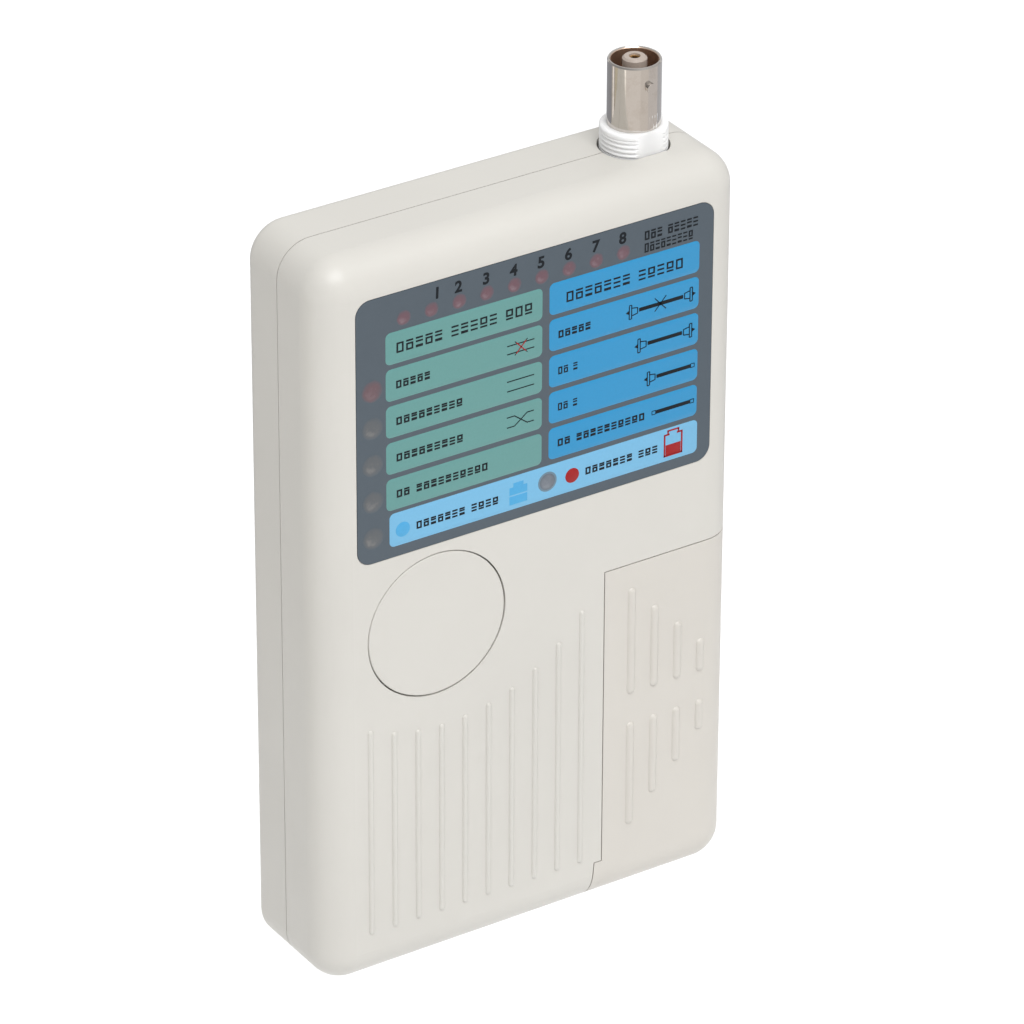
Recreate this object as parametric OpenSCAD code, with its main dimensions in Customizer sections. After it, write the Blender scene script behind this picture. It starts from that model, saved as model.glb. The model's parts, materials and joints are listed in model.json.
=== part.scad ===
// Network cable tester: main unit with a read-out panel, a test button and a coaxial socket, and a
// remote unit docked in its lower right corner. Millimetres. X is the width, the front faces -Y,
// +Z is up, and the origin is at the middle of the bottom end.

/* [Case] */
// Width of the complete case
case_w = 87.3; // [86:0.1:90]
// Height of the case, without the coaxial socket
case_h = 145; // [143:0.5:150]
// Depth of the case from the front face to the back face
case_d = 24; // [23.5:0.1:26]
// Depth of the front half, from the front face to the parting line
front_d = 13.6; // [13:0.1:14.2]
// Radius of the four corners, seen from the front
corner_r = 6.6; // [6.5:0.1:9]
// Radius of the rounded front edge
front_round = 6.4; // [5.5:0.1:6.4]
// Radius of the rounded back edge
back_round = 2.2; // [1.9:0.1:3]
// Wall thickness of all casings
wall = 1.8; // [1.6:0.1:2]

/* [Remote unit] */
// Left edge of the remote unit, from the middle of the case
dock_x = 15.2; // [14.5:0.1:16]
// Top edge of the remote unit, from the bottom
dock_z = 69.4; // [69:0.1:70.5]
// Height of the wider foot of the remote unit
foot_h = 8.8; // [6:0.1:9.5]
// How far the foot's top edge stands out to the left
foot_step = 1.6; // [1.2:0.1:2]
// Gap between the remote unit and the main unit
dock_gap = 0.2; // [0.2:0.05:0.4]

/* [Ribs] */
// Height of the raised ribs on the main unit
rib_h = 0.4; // [0.2:0.05:0.5]
// Width of the ribs on the main unit
rib_w = 1.15; // [0.9:0.05:1.4]
// Height of the raised ribs on the remote unit
remote_rib_h = 0.5; // [0.3:0.05:0.6]
// Width of the ribs on the remote unit
remote_rib_w = 1.7; // [1.4:0.05:2]

/* [Front panel] */
// Width of the read-out film
film_w = 73.5; // [72:0.5:75]
// Height of the read-out film
film_h = 51.5; // [50:0.5:53]
// Height of the middle of the film above the bottom
film_z = 112; // [111:0.1:113]
// Radius of the test button
button_r = 14.05; // [13:0.05:14.5]
// Travel of the test button
button_travel = 0.3; // [0.2:0.05:0.35]

/* [Hidden] */
$fn = 48;

// Colours
ivory = [0.89, 0.875, 0.84];
board_green = [0.10, 0.33, 0.20];
metal = [0.72, 0.71, 0.70];
gold = [0.83, 0.66, 0.30];
black_plastic = [0.10, 0.10, 0.11];
white_plastic = [0.93, 0.93, 0.94];

// Depth positions: the ribs are the front of the box, and the back face is its back
box_d = case_d + remote_rib_h;
back_y = box_d / 2;
face_y = back_y - case_d;
seam_y = face_y + front_d;
inner_front_y = face_y + wall;
inner_back_y = back_y - wall;
seam_gap = 0.2;
half_gap = dock_gap / 2;

// Lip that closes the parting line from inside
lip_h = 1.5;
lip_clear = 0.1;
lip_inset = wall - 0.05;

// The foot of the remote unit widens towards the bottom
foot_x = dock_x - foot_step;
foot_spread = 0.9;

// Read-out film
film_x = 0.45;
film_r = 2.8;
film_t = 0.3;
film_recess = 0.25;

// LEDs behind the film
pin_led_x = -26.7;
pin_led_pitch = 5.62;
pin_led_count = 9;
pin_led_z = 132.6;
pin_led_r = 1.45;
cond_led_x = -33.15;
cond_led_z = 120.1;
cond_led_pitch = 7.22;
cond_led_count = 5;
cond_led_r = 2.15;
bat_led_x = 2.8;
bat_led_z = 91.7;
bat_led_r = 1.65;
led_clear = 0.15;

// Test button
button_x = -20.1;
button_z = 70;
button_gap = 0.25;
button_t = 1.35;
flange_r = button_r + 1.3;

// Boards
board_t = 1.6;
board_y0 = -6;
board_y1 = board_y0 + board_t;

// Tact switch under the middle of the button
tact_w = 6;
tact_h = 3.4;
tact_top_y = board_y0 - tact_h;
plunger_r = 1.7;
plunger_in = 0.9;
tip_gap = 0.1;

// Chips: [x, z, width, height, legs a side]
main_chip = [-18, 108, 7.5, 18, 14];
logic_at = [[2, 118, 4, 10, 8], [2, 102, 4, 10, 8], [14, 102, 4, 10, 8]];

// Battery and its compartment
bat_x = -15;
bat_w = 26.5;
bat_d = 17.5;
bat_can_h = 46.4;
bat_z = 3;
bat_y = -7.2;
bay_w = 27.5;
bay_wall = 1.2;
bay_floor = 1;
bay_top = 56;
door_w = 32;
door_gap = 0.2;
door_t = 1.7;
door_top = 55.8;
tongue_w = 1.2;
tongue_t = 0.7;
groove_t = 1;

// Battery terminals, their snap connector and its two leads
terminal_h = 2.2;
terminal_dx = 6.35;
snap_z0 = bat_z + bat_can_h + 0.1;
snap_h = 4.2;
lead_y = 1.4;
lead_dx = 9;
lead_r = 0.7;
lead_bend = 2.4;

// Coaxial sockets
coax_x = 29.3;
coax_neck = 4.4;
coax_barrel_h = 12.35;
coax_thread_r = 6.1;
coax_flat = 5.25;
coax_hole_r = 6.5;
coax_hole_flat = 5.4;
coax_r = 4.8;
coax_bore_r = 4.2;
coax_tip = 0.3;
coax_block_w = 11.8;
coax_block_h = 12;
coax_block_top = 2;
coax_pin_z = [-7, -12];
pocket_r = 6.7;
pocket_h = 18;

// Side sockets, on the board's back face, opening to the right
port_x = case_w / 2 - 0.3;
jack_w = 15.9;
jack_h = 11.5;
jack_l = 18;
jack_mouth_w = 11.8;
jack_mouth_l = 12;
jack_z = 113;
usb_w = 13.1;
usb_h = 5.8;
usb_l = 14;
usb_z = 95.5;
usb_b_w = 12;
usb_b_h = 11;
usb_b_l = 16;
remote_jack_z = 45;
remote_usb_z = 24;
port_clear = 0.25;

// T rail on the dock's wall, and its slot in the remote unit
rail_y = 6;
rail_z0 = 14;
rail_z1 = 64;
rail_neck_w = 2;
rail_neck_l = 1.6;
rail_head_w = 4;
rail_head_l = 1.2;
rail_clear = 0.25;
slot_z0 = 11;
rail_root_x = dock_x - half_gap;
slot_face_x = dock_x + half_gap;

// Screws: [x, z] places
case_screw_at = [[-38.9, 137.8], [38.9, 137.8], [-38.2, 7.2], [8.4, 8]];
board_screw_at = [[-38.4, 127.5], [37.6, 125.2], [-38.4, 62], [9, 62]];
remote_screw_at = [[38.9, 61.8], [27.5, 8.2]];
remote_board_screw_at = [[22.9, 50.2], [38.6, 8.6]];
screw_shank_r = 1.35;
screw_hole_r = 1.45;
screw_head_r = 2.6;
boss_r = 2.9;
post_r = 2.3;
board_screw_r = 1.05;

// ---------- helpers ----------

// A box given by its limits along each axis
module block(x0, x1, y0, y1, z0, z1) {
    translate([x0, y0, z0]) cube([x1 - x0, y1 - y0, z1 - z0]);
}

// A flat outline in X and Z, made solid from y0 to y1
module slab(y0, y1) {
    translate([0, y1, 0]) rotate([90, 0, 0]) linear_extrude(y1 - y0) children();
}

// A round bar along Y
module bar_y(x, z, r, y0, y1) {
    translate([x, y1, z]) rotate([90, 0, 0]) cylinder(r = r, h = y1 - y0);
}

// A round bar along Z
module bar_z(x, y, r, z0, z1) {
    translate([x, y, z0]) cylinder(r = r, h = z1 - z0);
}

// A round bar along X
module bar_x(y, z, r, x0, x1) {
    translate([x0, y, z]) rotate([0, 90, 0]) cylinder(r = r, h = x1 - x0);
}

// Rectangle with round corners, centred
module round_rect(w, h, r) {
    square([w - 2 * r, h], center = true);
    square([w, h - 2 * r], center = true);
    for (sx = [-1, 1], sy = [-1, 1])
        translate([sx * (w / 2 - r), sy * (h / 2 - r)]) circle(r);
}

// Cross-section through an edge: the wall stands at x = r and is rounded at height d
module edge_profile(r, d, f) {
    square([r, d - f]);
    square([r - f, d]);
    translate([r - f, d - f]) intersection() {
        circle(f);
        square(f);
    }
}

// Block with corners of radius r and its far edge rounded by f, growing along +Z
module rounded_tray(w, h, d, r, f) {
    translate([-(w / 2 - r), -(h / 2 - r), 0]) cube([w - 2 * r, h - 2 * r, d]);
    for (turn = [0, 180]) rotate([0, 0, turn]) {
        translate([w / 2 - r, h / 2 - r, 0]) {
            rotate([90, 0, 0]) linear_extrude(h - 2 * r) edge_profile(r, d, f);
            rotate_extrude(angle = 90) edge_profile(r, d, f);
        }
        translate([-(w / 2 - r), h / 2 - r, 0]) {
            rotate([90, 0, 90]) linear_extrude(w - 2 * r) edge_profile(r, d, f);
            rotate([0, 0, 90]) rotate_extrude(angle = 90) edge_profile(r, d, f);
        }
    }
}

// Front half of the case as a solid, made smaller all round by inset
module front_form(inset) {
    translate([0, seam_y, case_h / 2]) rotate([90, 0, 0])
        rounded_tray(case_w - 2 * inset, case_h - 2 * inset, front_d - inset,
                     corner_r - inset, front_round - inset);
}

// Back half of the case as a solid, made smaller all round by inset
module back_form(inset) {
    round_back = max(back_round - inset, 0.4);
    translate([0, seam_y, case_h / 2]) rotate([-90, 0, 0])
        rounded_tray(case_w - 2 * inset, case_h - 2 * inset, case_d - front_d - inset,
                     corner_r - inset, round_back);
}

// ---------- outlines seen from the front ----------

// Outline of the complete case
module case_outline(inset) {
    translate([0, case_h / 2])
        round_rect(case_w - 2 * inset, case_h - 2 * inset, corner_r - inset);
}

// Everything but the dock: the main unit's share
module main_share(inset) {
    edge = half_gap + inset;
    polygon([
        [-case_w, -1],
        [foot_x - foot_spread - edge, -1],
        [foot_x - edge, foot_h + edge],
        [dock_x - edge, foot_h + edge],
        [dock_x - edge, dock_z + edge],
        [case_w, dock_z + edge],
        [case_w, case_h + 1],
        [-case_w, case_h + 1]
    ]);
}

// The dock: the remote unit's share
module remote_share(inset) {
    edge = half_gap + inset;
    polygon([
        [foot_x - foot_spread + edge, -1],
        [case_w, -1],
        [case_w, dock_z - edge],
        [dock_x + edge, dock_z - edge],
        [dock_x + edge, foot_h - edge],
        [foot_x + edge, foot_h - edge]
    ]);
}

module main_outline(inset) {
    intersection() {
        case_outline(inset);
        main_share(inset);
    }
}

module remote_outline(inset) {
    intersection() {
        case_outline(inset);
        remote_share(inset);
    }
}

// ---------- details shared by the casings ----------

// Low rib with round ends that stands out of the front face
module face_rib(x, z0, z1, w, h) {
    r = (w * w / 4 + h * h) / (2 * h);
    axis_y = face_y - h + r;
    bar_z(x, axis_y, r, z0 + w / 2, z1 - w / 2);
    translate([x, axis_y, z0 + w / 2]) sphere(r);
    translate([x, axis_y, z1 - w / 2]) sphere(r);
}

// The main unit's ribs end on one large arc below the button
module main_ribs() {
    count = 10;
    pitch = 4.93;
    first_x = -33.95;
    bottom_z = 10;
    arc_r = 37;
    arc_x = -18.5;
    arc_z = 86.2;
    for (i = [0 : count - 1]) {
        x = first_x + i * pitch;
        top_z = arc_z - sqrt(arc_r * arc_r - (x - arc_x) * (x - arc_x));
        face_rib(x, bottom_z, top_z, rib_w, rib_h);
    }
}

// Two groups of ribs on the remote unit, each shorter by one step than the last
module remote_ribs() {
    count = 4;
    pitch = 5;
    step = 5.07;
    first_x = 21.1;
    for (i = [0 : count - 1]) {
        x = first_x + i * pitch;
        face_rib(x, 42.4, 64.4 - i * step, remote_rib_w, remote_rib_h);
        face_rib(x, 14.8 + i * step, 36.4, remote_rib_w, remote_rib_h);
    }
}

// Hole in the top wall for a coaxial socket, with two flats
module coax_opening(z0, z1) {
    intersection() {
        bar_z(coax_x, seam_y, coax_hole_r, z0, z1);
        block(coax_x - 7, coax_x + 7, seam_y - coax_hole_flat, seam_y + coax_hole_flat, z0, z1);
    }
}

// Opening in the right-hand wall for a socket of width w and height h at height z
module port_opening(w, h, z) {
    block(case_w / 2 - wall - 1, case_w / 2 + 1,
          board_y1 - port_clear, board_y1 + h + port_clear,
          z - w / 2 - port_clear, z + w / 2 + port_clear);
}

// Screw boss on the front casing, up to the parting line
module front_boss(at) {
    bar_y(at[0], at[1], boss_r, inner_front_y - 0.3, seam_y - seam_gap);
}

// Pilot hole in a front boss
module front_boss_hole(at) {
    bar_y(at[0], at[1], screw_hole_r, seam_y - 9, seam_y + 1);
}

// Screw boss on the back casing
module back_boss(at) {
    bar_y(at[0], at[1], boss_r + 0.6, seam_y + seam_gap, inner_back_y + 0.3);
}

// Clearance hole and head recess in a back boss
module back_boss_hole(at) {
    bar_y(at[0], at[1], 1.7, seam_y - 1, back_y + 1);
    bar_y(at[0], at[1], 2.9, back_y - 4, back_y + 1);
}

// Post that carries a board
module board_post(at) {
    bar_y(at[0], at[1], post_r, inner_front_y - 0.3, board_y0);
}

module board_post_hole(at) {
    bar_y(at[0], at[1], board_screw_r + 0.08, board_y0 - 3.2, board_y0 + 1);
}

// Self-tapping screw with a domed head, pointing towards the front
module case_screw(at) {
    seat_y = back_y - 4;
    bar_y(at[0], at[1], screw_shank_r, seat_y - 13.5, seat_y);
    difference() {
        bar_y(at[0], at[1], screw_head_r, seat_y, seat_y + 2);
        for (turn = [0, 90])
            translate([at[0], seat_y + 1.4, at[1]]) rotate([0, turn, 0])
                translate([-1.6, 0, -0.3]) cube([3.2, 1, 0.6]);
    }
}

module board_screw(at) {
    bar_y(at[0], at[1], board_screw_r, board_y0 - 3, board_y1);
    difference() {
        bar_y(at[0], at[1], 2, board_y1, board_y1 + 1.4);
        for (turn = [0, 90])
            translate([at[0], board_y1 + 0.8, at[1]]) rotate([0, turn, 0])
                translate([-1.3, 0, -0.25]) cube([2.6, 1, 0.5]);
    }
}

// ---------- main unit casings ----------

module front_shell() {
    color(ivory) difference() {
        union() {
            difference() {
                intersection() {
                    front_form(0);
                    slab(face_y - 1, seam_y - seam_gap / 2) main_share(0);
                }
                intersection() {
                    front_form(wall);
                    slab(face_y - 1, seam_y + 1) main_share(wall);
                }
                slab(seam_y - lip_h - lip_clear, seam_y + 1) main_outline(wall / 2);
            }
            main_ribs();
            intersection() {
                front_form(wall / 2);
                union() {
                    for (at = case_screw_at) front_boss(at);
                    for (at = board_screw_at) board_post(at);
                }
            }
            pocket_wall(seam_y - pocket_r - bay_wall, seam_y - seam_gap / 2);
        }
        for (at = case_screw_at) front_boss_hole(at);
        for (at = board_screw_at) board_post_hole(at);
        pocket_space();
        bar_y(button_x, button_z, button_r + button_gap, face_y - 1, inner_front_y + 1);
        slab(face_y - 1, face_y + film_recess) film_outline(0.1);
        led_holes();
        coax_opening(case_h - wall - 1, case_h + 1);
        port_opening(jack_w, jack_h, jack_z);
        port_opening(usb_w, usb_h, usb_z);
    }
}

// Holes in the front wall for the LEDs
module led_holes() {
    y0 = face_y - 1;
    y1 = inner_front_y + 0.5;
    for (i = [0 : pin_led_count - 1])
        bar_y(pin_led_x + i * pin_led_pitch, pin_led_z, pin_led_r + led_clear, y0, y1);
    for (i = [0 : cond_led_count - 1])
        bar_y(cond_led_x, cond_led_z - i * cond_led_pitch, cond_led_r + led_clear, y0, y1);
    bar_y(bat_led_x, bat_led_z, bat_led_r + led_clear, y0, y1);
}

// Wall of the pocket that takes the remote unit's coaxial socket, between y0 and y1
module pocket_wall(y0, y1) {
    top = dock_z + half_gap + pocket_h + bay_wall;
    reach = pocket_r + bay_wall;
    intersection() {
        bar_z(coax_x, seam_y, reach, dock_z + half_gap + 0.5, top);
        block(coax_x - reach - 1, coax_x + reach + 1, y0, y1, dock_z, top + 1);
    }
}

module pocket_space() {
    bar_z(coax_x, seam_y, pocket_r, dock_z - 1, dock_z + half_gap + pocket_h);
}

module back_shell() {
    bay_x0 = bat_x - bay_w / 2;
    bay_x1 = bat_x + bay_w / 2;
    color(ivory) difference() {
        union() {
            difference() {
                intersection() {
                    back_form(0);
                    slab(seam_y + seam_gap / 2, back_y + 1) main_share(0);
                }
                intersection() {
                    back_form(wall);
                    slab(seam_y - 1, back_y + 1) main_share(wall);
                }
            }
            // lip inside the front casing, joined to the wall behind it, with a gap at the pocket
            slab(seam_y - lip_h, seam_y + 1) difference() {
                main_outline(wall / 2 + lip_clear);
                main_outline(lip_inset);
                translate([coax_x, dock_z]) square(2 * (pocket_r + bay_wall + 0.2), center = true);
            }
            for (at = case_screw_at) back_boss(at);
            pocket_wall(seam_y + seam_gap / 2, seam_y + pocket_r + bay_wall);
            battery_bay_block();
            // ledges that carry the door's edges
            block(bat_x - door_w / 2 - 3, bat_x + door_w / 2 + 3, inner_back_y - 1.6,
                  inner_back_y + 0.3, 1, bay_top + bay_wall);
            dock_rail();
        }
        for (at = case_screw_at) back_boss_hole(at);
        pocket_space();
        coax_opening(case_h - wall - 1, case_h + 1);
        port_opening(jack_w, jack_h, jack_z);
        port_opening(usb_w, usb_h, usb_z);
        // battery space, open to the back and at the bottom
        block(bay_x0, bay_x1, bat_y - 0.1, back_y + 1, wall + bay_floor, bay_top);
        block(bay_x0, bay_x1, seam_y + 1, back_y + 1, -1, wall + bay_floor + 0.2);
        // seat of the door, and the two grooves for its tongues
        block(bat_x - door_w / 2 - door_gap, bat_x + door_w / 2 + door_gap, inner_back_y,
              back_y + 1, -1, door_top + door_gap);
        block(bat_x - door_w / 2 - tongue_w - door_gap, bat_x + door_w / 2 + tongue_w + door_gap,
              inner_back_y, inner_back_y + groove_t, -1, door_top + door_gap);
        // way through for the leads
        for (side = [-1, 1])
            bar_z(bat_x + side * lead_dx, lead_y, lead_r + 0.4, bay_top - 1, bay_top + 3);
    }
}

// Solid block for the battery compartment, clear of the front casing's wall and rounded edge
module battery_bay_block() {
    clear = 0.15;
    y0 = bat_y - 0.1 - bay_wall;
    x0 = bat_x - bay_w / 2 - bay_wall;
    x1 = bat_x + bay_w / 2 + bay_wall;
    intersection() {
        front_form(wall + clear);
        block(x0, x1, y0, seam_y + 0.5, 0, bay_top + bay_wall);
    }
    // joins the part in the front half to the part in the back half
    slab(seam_y - 0.5, seam_y + 1) intersection() {
        main_outline(wall + clear);
        translate([x0, 0]) square([x1 - x0, bay_top + bay_wall]);
    }
    block(x0, x1, seam_y + clear, inner_back_y + 0.3, wall - 0.2, bay_top + bay_wall);
}

// T-shaped rail that holds the remote unit
module dock_rail() {
    head_x = rail_root_x + rail_neck_l;
    block(rail_root_x - 0.5, head_x + 0.1, rail_y - rail_neck_w / 2, rail_y + rail_neck_w / 2,
          rail_z0, rail_z1);
    block(head_x, head_x + rail_head_l, rail_y - rail_head_w / 2, rail_y + rail_head_w / 2,
          rail_z0, rail_z1);
}

module battery_door() {
    ridges = 6;
    lip_y = seam_y + 1 + door_gap;
    x0 = bat_x - door_w / 2;
    x1 = bat_x + door_w / 2;
    tongue_y = inner_back_y + (groove_t - tongue_t) / 2;
    color(ivory) difference() {
        union() {
            intersection() {
                back_form(0);
                union() {
                    block(x0, x1, back_y - door_t, back_y + 1, -1, door_top);
                    block(bat_x - bay_w / 2 + door_gap, bat_x + bay_w / 2 - door_gap, lip_y,
                          back_y, -1, wall);
                }
            }
            block(x0 - tongue_w, x0 + 1, tongue_y, tongue_y + tongue_t, 3, door_top - 1);
            block(x1 - 1, x1 + tongue_w, tongue_y, tongue_y + tongue_t, 3, door_top - 1);
        }
        // finger grip
        for (i = [0 : ridges - 1])
            bar_x(back_y + 0.5, 9 + i * 2.2, 0.9, bat_x - 8, bat_x + 8);
    }
}

// ---------- front panel ----------

module film_outline(grow) {
    translate([film_x, film_z])
        round_rect(film_w + 2 * grow, film_h + 2 * grow, film_r + grow);
}

module overlay_film() {
    front = face_y + film_recess - film_t;
    color([0.40, 0.43, 0.46]) slab(front, front + film_t) film_outline(0);
}

// Domed LED that points to the front
module led(x, z, r) {
    tip_y = inner_front_y - 1.35;
    bar_y(x, z, r + 0.25, board_y0 - 0.8, board_y0);
    bar_y(x, z, r, tip_y + 0.6, board_y0 - 0.4);
    translate([x, tip_y + 0.6, z]) rotate([90, 0, 0]) intersection() {
        translate([0, 0, 0.6 - 2 * r]) sphere(2 * r);
        cylinder(r = r, h = 1);
    }
}

module pin_leds() {
    color([0.75, 0.35, 0.36]) for (i = [0 : pin_led_count - 1])
        led(pin_led_x + i * pin_led_pitch, pin_led_z, pin_led_r);
}

module condition_leds() {
    color([0.8, 0.8, 0.74]) for (i = [0 : cond_led_count - 1])
        led(cond_led_x, cond_led_z - i * cond_led_pitch, cond_led_r);
}

module battery_led() {
    color([0.85, 0.85, 0.85]) led(bat_led_x, bat_led_z, bat_led_r);
}

module test_button() {
    flange_y = inner_front_y + 0.15;
    color(ivory) {
        bar_y(button_x, button_z, button_r, face_y, face_y + button_t);
        difference() {
            bar_y(button_x, button_z, button_r, face_y + button_t - 0.2, flange_y + 0.9);
            bar_y(button_x, button_z, button_r - 1.4, face_y + button_t - 1, flange_y + 2);
        }
        difference() {
            bar_y(button_x, button_z, flange_r, flange_y, flange_y + 0.9);
            bar_y(button_x, button_z, button_r - 0.6, flange_y - 1, flange_y + 2);
        }
    }
}

// ---------- main board and its parts ----------

module tact_switch() {
    color(black_plastic) difference() {
        block(button_x - tact_w / 2, button_x + tact_w / 2, tact_top_y, board_y0,
              button_z - tact_w / 2, button_z + tact_w / 2);
        bar_y(button_x, button_z, plunger_r + 0.05, tact_top_y - 1,
              tact_top_y + plunger_in + button_travel + 0.2);
    }
}

module tact_plunger() {
    color([0.3, 0.3, 0.32])
        bar_y(button_x, button_z, plunger_r, face_y + button_t + tip_gap, tact_top_y + plunger_in);
}

module tact_terminals() {
    color(metal) for (sx = [-1, 1], sz = [-1, 1])
        block(button_x + sx * (tact_w / 2 + 0.4) - 0.4, button_x + sx * (tact_w / 2 + 0.4) + 0.4,
              board_y0 - 1, board_y0, button_z + sz * 2.25 - 0.35, button_z + sz * 2.25 + 0.35);
}

module board_holes(places) {
    for (at = places) translate(at) circle(board_screw_r + 0.15);
}

module main_board() {
    x0 = -case_w / 2 + wall + 0.7;
    x1 = case_w / 2 - wall - 0.7;
    step_x = coax_x - pocket_r - bay_wall - 0.8;
    low_x = dock_x - half_gap - wall - 0.6;
    pocket_top = dock_z + half_gap + pocket_h + bay_wall + 0.6;
    corner_cut = 8.4;
    corner_z = case_screw_at[0][1] - boss_r - 1;
    color(board_green) slab(board_y0, board_y1) difference() {
        polygon([
            [x0, bay_top + bay_wall + 1],
            [low_x, bay_top + bay_wall + 1],
            [low_x, dock_z + half_gap + wall + 0.6],
            [step_x, dock_z + half_gap + wall + 0.6],
            [step_x, pocket_top],
            [x1, pocket_top],
            [x1, corner_z],
            [x1 - corner_cut, corner_z],
            [x1 - corner_cut, 141.5],
            [x0 + corner_cut, 141.5],
            [x0 + corner_cut, corner_z],
            [x0, corner_z]
        ]);
        board_holes(board_screw_at);
        coax_pin_holes(coax_x, case_h);
    }
}

// Flat chip package on the back face of a board
module chip(x, z, w, h) {
    block(x - w / 2, x + w / 2, board_y1 + 0.2, board_y1 + 2.4, z - h / 2, z + h / 2);
}

// A row of gull-wing legs along the left and right edges of a chip
module legs(x, z, w, h, count) {
    pitch = 1.27;
    for (side = [-1, 1], i = [0 : count - 1]) {
        leg_z = z + (i - (count - 1) / 2) * pitch;
        edge = x + side * w / 2;
        block(min(edge, edge + side * 1.1), max(edge, edge + side * 1.1), board_y1,
              board_y1 + 0.25, leg_z - 0.2, leg_z + 0.2);
        block(min(edge, edge + side * 0.3), max(edge, edge + side * 0.3), board_y1,
              board_y1 + 1.2, leg_z - 0.2, leg_z + 0.2);
    }
}

module controller_chip() {
    color(black_plastic) chip(main_chip[0], main_chip[1], main_chip[2], main_chip[3]);
}

module logic_chips() {
    color(black_plastic) for (c = logic_at) chip(c[0], c[1], c[2], c[3]);
}

module chip_legs() {
    color(metal) {
        legs(main_chip[0], main_chip[1], main_chip[2], main_chip[3], main_chip[4]);
        for (c = logic_at) legs(c[0], c[1], c[2], c[3], c[4]);
    }
}

module crystal() {
    color(metal) translate([-18, board_y1, 91]) rotate([-90, 0, 0])
        linear_extrude(3.6) round_rect(11, 4.6, 2.2);
}

module reservoir_capacitor() {
    color([0.12, 0.14, 0.30]) bar_y(8, 84, 3.15, board_y1, board_y1 + 7);
}

// Rows of small parts, [x, z] of the first, then the pitch along z
module small_parts(x, z, count, pitch) {
    for (i = [0 : count - 1])
        block(x - 1, x + 1, board_y1, board_y1 + 0.6, z + i * pitch - 0.6, z + i * pitch + 0.6);
}

module main_small_parts() {
    color([0.5, 0.45, 0.38]) {
        small_parts(-30, 96, 10, 3);
        small_parts(-6, 96, 9, 3);
        small_parts(-2, 78, 4, 3);
        small_parts(20.5, 96, 4, 3);
        small_parts(8, 124, 4, 3);
    }
}

// ---------- coaxial sockets, built at the origin ----------
// The origin is on the socket's axis, at the casing's outer face

// Threaded plastic body with a square block behind the wall
module coax_body_form() {
    pitch = 0.88;
    rings = 4;
    edge = 0.5;
    top = coax_neck;
    collar_z = top - 0.95;
    foot = collar_z - rings * pitch;
    shank_base = -wall - coax_block_top;
    difference() {
        union() {
            intersection() {
                union() {
                    cylinder(r = coax_thread_r - 0.35, h = collar_z + 0.1);
                    collar(collar_z, top, edge);
                    translate([0, 0, shank_base]) cylinder(r = coax_thread_r, h = foot - shank_base);
                    for (i = [0 : rings - 1]) thread_ring(foot + i * pitch, pitch);
                }
                block(-7, 7, -coax_flat, coax_flat, -10, 10);
            }
            block(-coax_block_w / 2, coax_block_w / 2, board_y1 - seam_y, coax_block_w / 2 - 0.2,
                  -coax_block_top - wall - coax_block_h, -wall - 0.2);
        }
        translate([0, 0, -1]) cylinder(r = coax_r + 0.01, h = 10);
    }
}

// Plain end of the thread, with its outer edge rounded
module collar(z0, z1, edge) {
    rotate_extrude() {
        translate([0, z0]) square([coax_thread_r, z1 - z0 - edge]);
        translate([0, z0]) square([coax_thread_r - edge, z1 - z0]);
        translate([coax_thread_r - edge, z1 - edge]) intersection() {
            circle(edge);
            square(edge);
        }
    }
}

// One ridge of the thread, as a ring with sloping sides
module thread_ring(z, pitch) {
    r0 = coax_thread_r - 0.4;
    translate([0, 0, z]) rotate_extrude() polygon([
        [r0 - 1, 0], [r0, 0], [coax_thread_r, pitch * 0.35], [coax_thread_r, pitch * 0.6],
        [r0, pitch], [r0 - 1, pitch]
    ]);
}

// Nickel barrel with its two bayonet lugs
module coax_barrel_form() {
    base = -0.8;
    rim = coax_neck + coax_barrel_h;
    chamfer = 0.3;
    bore_chamfer = 0.22;
    lug_z = rim - 3.85;
    lug_r = 0.95;
    lug_out = 0.75;
    difference() {
        union() {
            translate([0, 0, base]) cylinder(r = coax_r, h = rim - base - chamfer);
            translate([0, 0, rim - chamfer])
                cylinder(r1 = coax_r, r2 = coax_r - chamfer / 2, h = chamfer);
            for (side = [-1, 1]) translate([0, 0, lug_z]) rotate([side * 90, 0, 0])
                cylinder(r = lug_r, h = coax_r + lug_out);
        }
        translate([0, 0, base - 1]) cylinder(r = coax_bore_r, h = rim - base + 2);
        translate([0, 0, rim - bore_chamfer])
            cylinder(r1 = coax_bore_r - 0.01, r2 = coax_bore_r + bore_chamfer * 2, h = bore_chamfer * 2);
    }
}

module coax_insulator_form() {
    base = -0.8;
    floor_z = coax_neck + coax_barrel_h - 9.5;
    tip = coax_neck + coax_barrel_h + coax_tip;
    tip_r = 2.2;
    edge = 0.35;
    difference() {
        union() {
            translate([0, 0, base]) cylinder(r = coax_bore_r - 0.01, h = floor_z - base);
            cylinder(r = tip_r, h = tip - edge);
            translate([0, 0, tip - edge - 0.01]) cylinder(r1 = tip_r, r2 = tip_r - edge, h = edge + 0.01);
        }
        translate([0, 0, base - 1]) cylinder(r = 1.02, h = tip + 3);
    }
}

module coax_contact_form() {
    tip = coax_neck + coax_barrel_h + coax_tip - 0.4;
    difference() {
        translate([0, 0, -0.8]) cylinder(r = 1.01, h = tip + 0.8);
        translate([0, 0, tip - 5]) cylinder(r = 0.68, h = 6);
    }
}

module coax_pins_form() {
    front = board_y0 - seam_y;
    block_front = board_y1 - seam_y;
    for (z = coax_pin_z) translate([0, block_front, z]) rotate([90, 0, 0])
        cylinder(r = 0.5, h = block_front - front + 1.2);
}

// Holes for those pins, as part of a board's outline
module coax_pin_holes(x, z) {
    for (dz = coax_pin_z) translate([x, z + dz]) circle(0.6);
}

module at_main_coax() {
    translate([coax_x, seam_y, case_h]) children();
}

module at_remote_coax() {
    translate([coax_x, seam_y, dock_z - half_gap]) children();
}

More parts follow.
